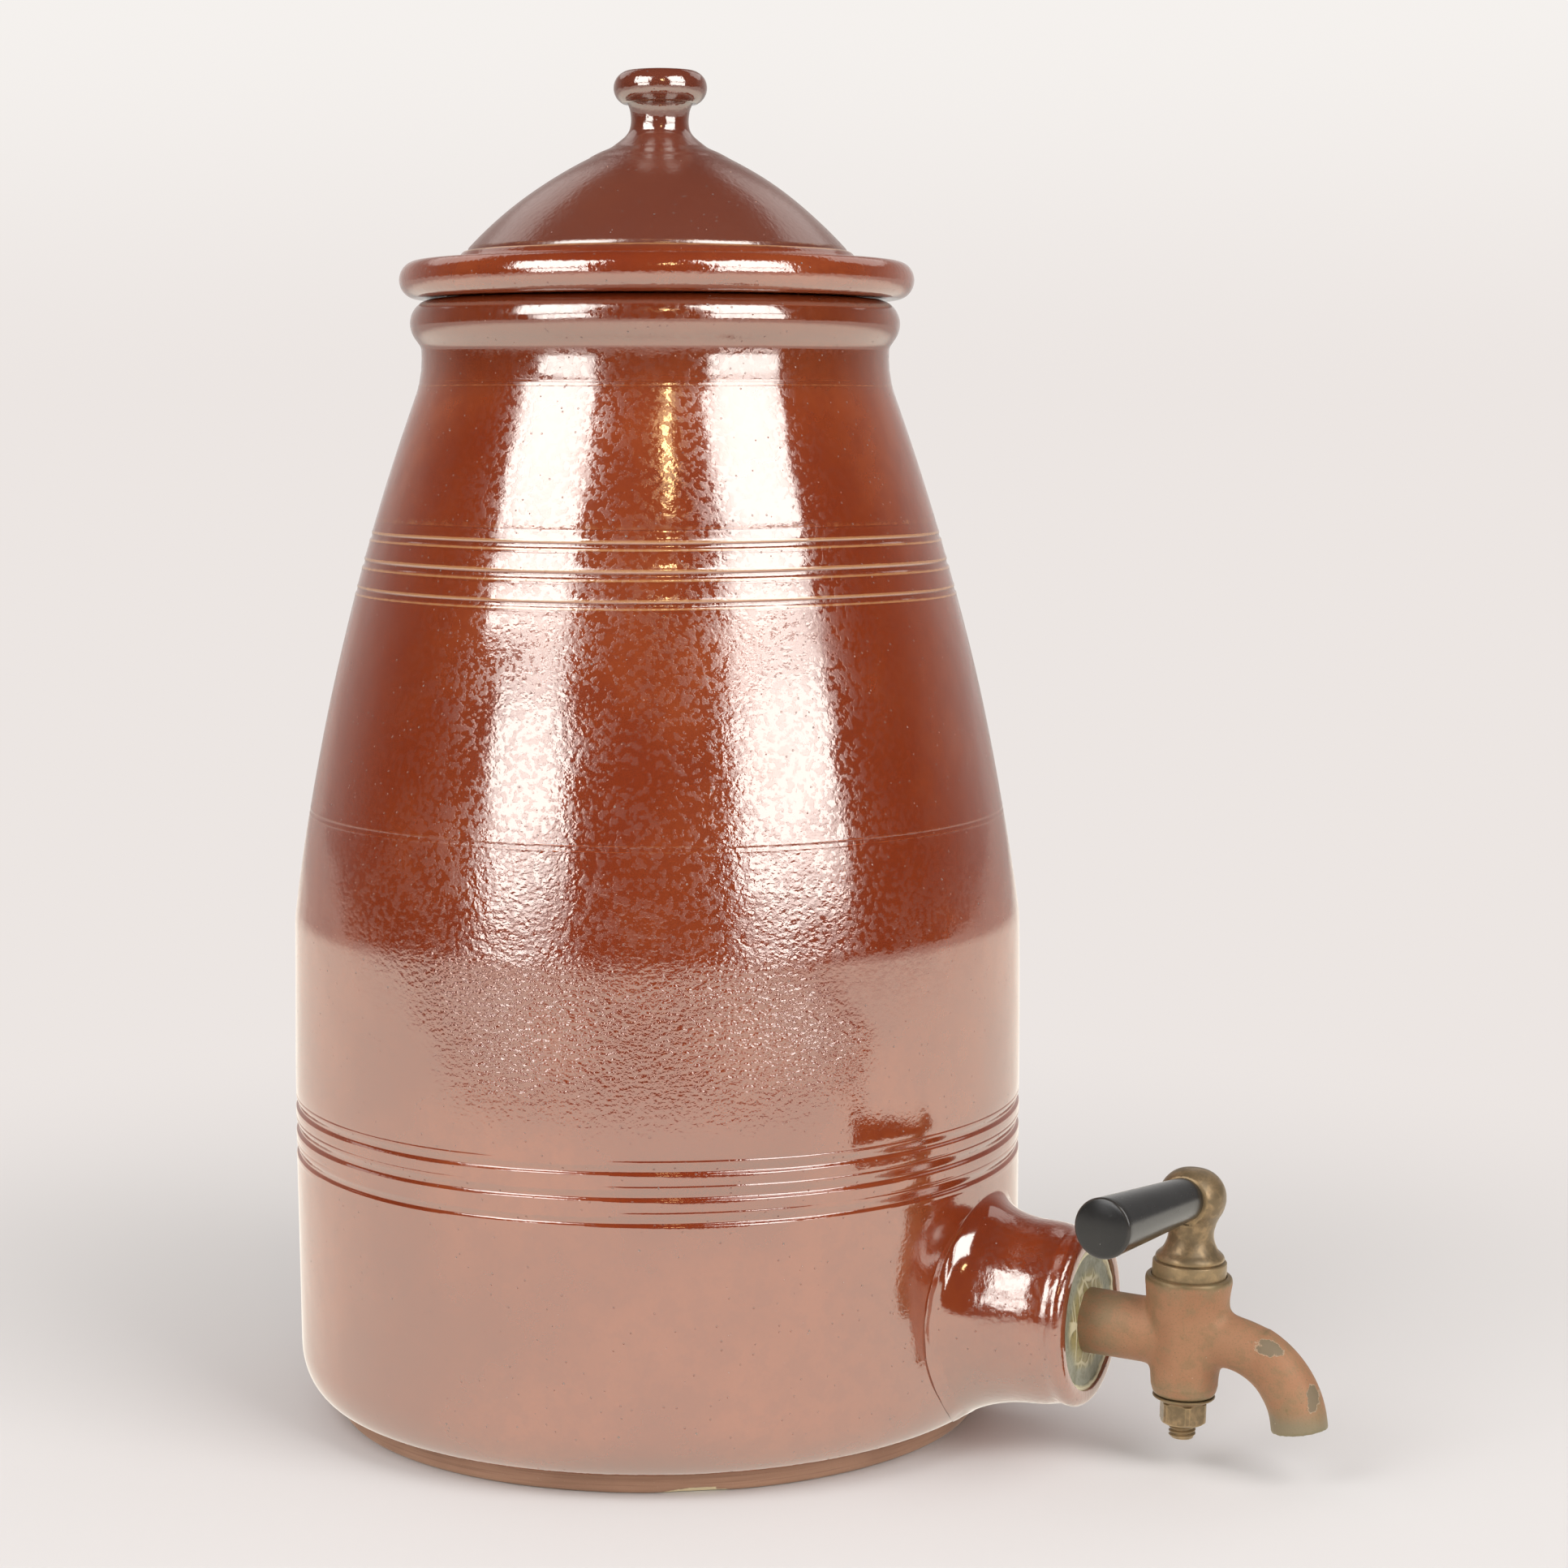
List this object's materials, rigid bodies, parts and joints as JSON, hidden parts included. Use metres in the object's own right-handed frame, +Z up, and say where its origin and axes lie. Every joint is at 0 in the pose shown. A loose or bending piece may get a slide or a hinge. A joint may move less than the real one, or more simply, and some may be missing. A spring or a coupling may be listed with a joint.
{
  "type": "ceramic water pot with tap",
  "caption": "Tall glazed pot with a sloping shoulder, a loose domed lid and a brass plug tap with a tapered black grip near the foot.",
  "frame": {"origin": "centre of the foot, on the surface that the pot stands on", "axes": "+Z up through the lid's knob, +X out through the tap"},
  "size_m": [0.3394, 0.2314, 0.4223],
  "materials": {
    "glaze": "glossy salt glaze with an orange-peel surface",
    "putty": "set sealing compound, yellowed and flaking",
    "cast_brass": "cast, tarnished to a matt copper brown",
    "turned_brass": "turned, worn and dulled",
    "ebonite": "polished hard black, slightly dulled"
  },
  "bodies": {
    "pot": {"pot_jar": "glaze", "tap_seal": "putty", "tap_body": "cast_brass"},
    "lid": {"lid": "glaze"},
    "lever": {"tap_plug": "turned_brass", "plug_washer": "cast_brass", "plug_nut": "turned_brass", "grip_stud": "turned_brass", "grip": "ebonite"}
  },
  "joints": [
    {"name": "lid_lift", "type": "slide", "parent": "pot", "child": "lid", "axis": [0, 0, 1], "range_m": [0, 0.2]},
    {"name": "tap_turn", "type": "hinge", "parent": "pot", "child": "lever", "pos_m": [0.17919, 0, 0.04105], "axis": [0.0314, 0, 0.9995], "continuous": true}
  ]
}
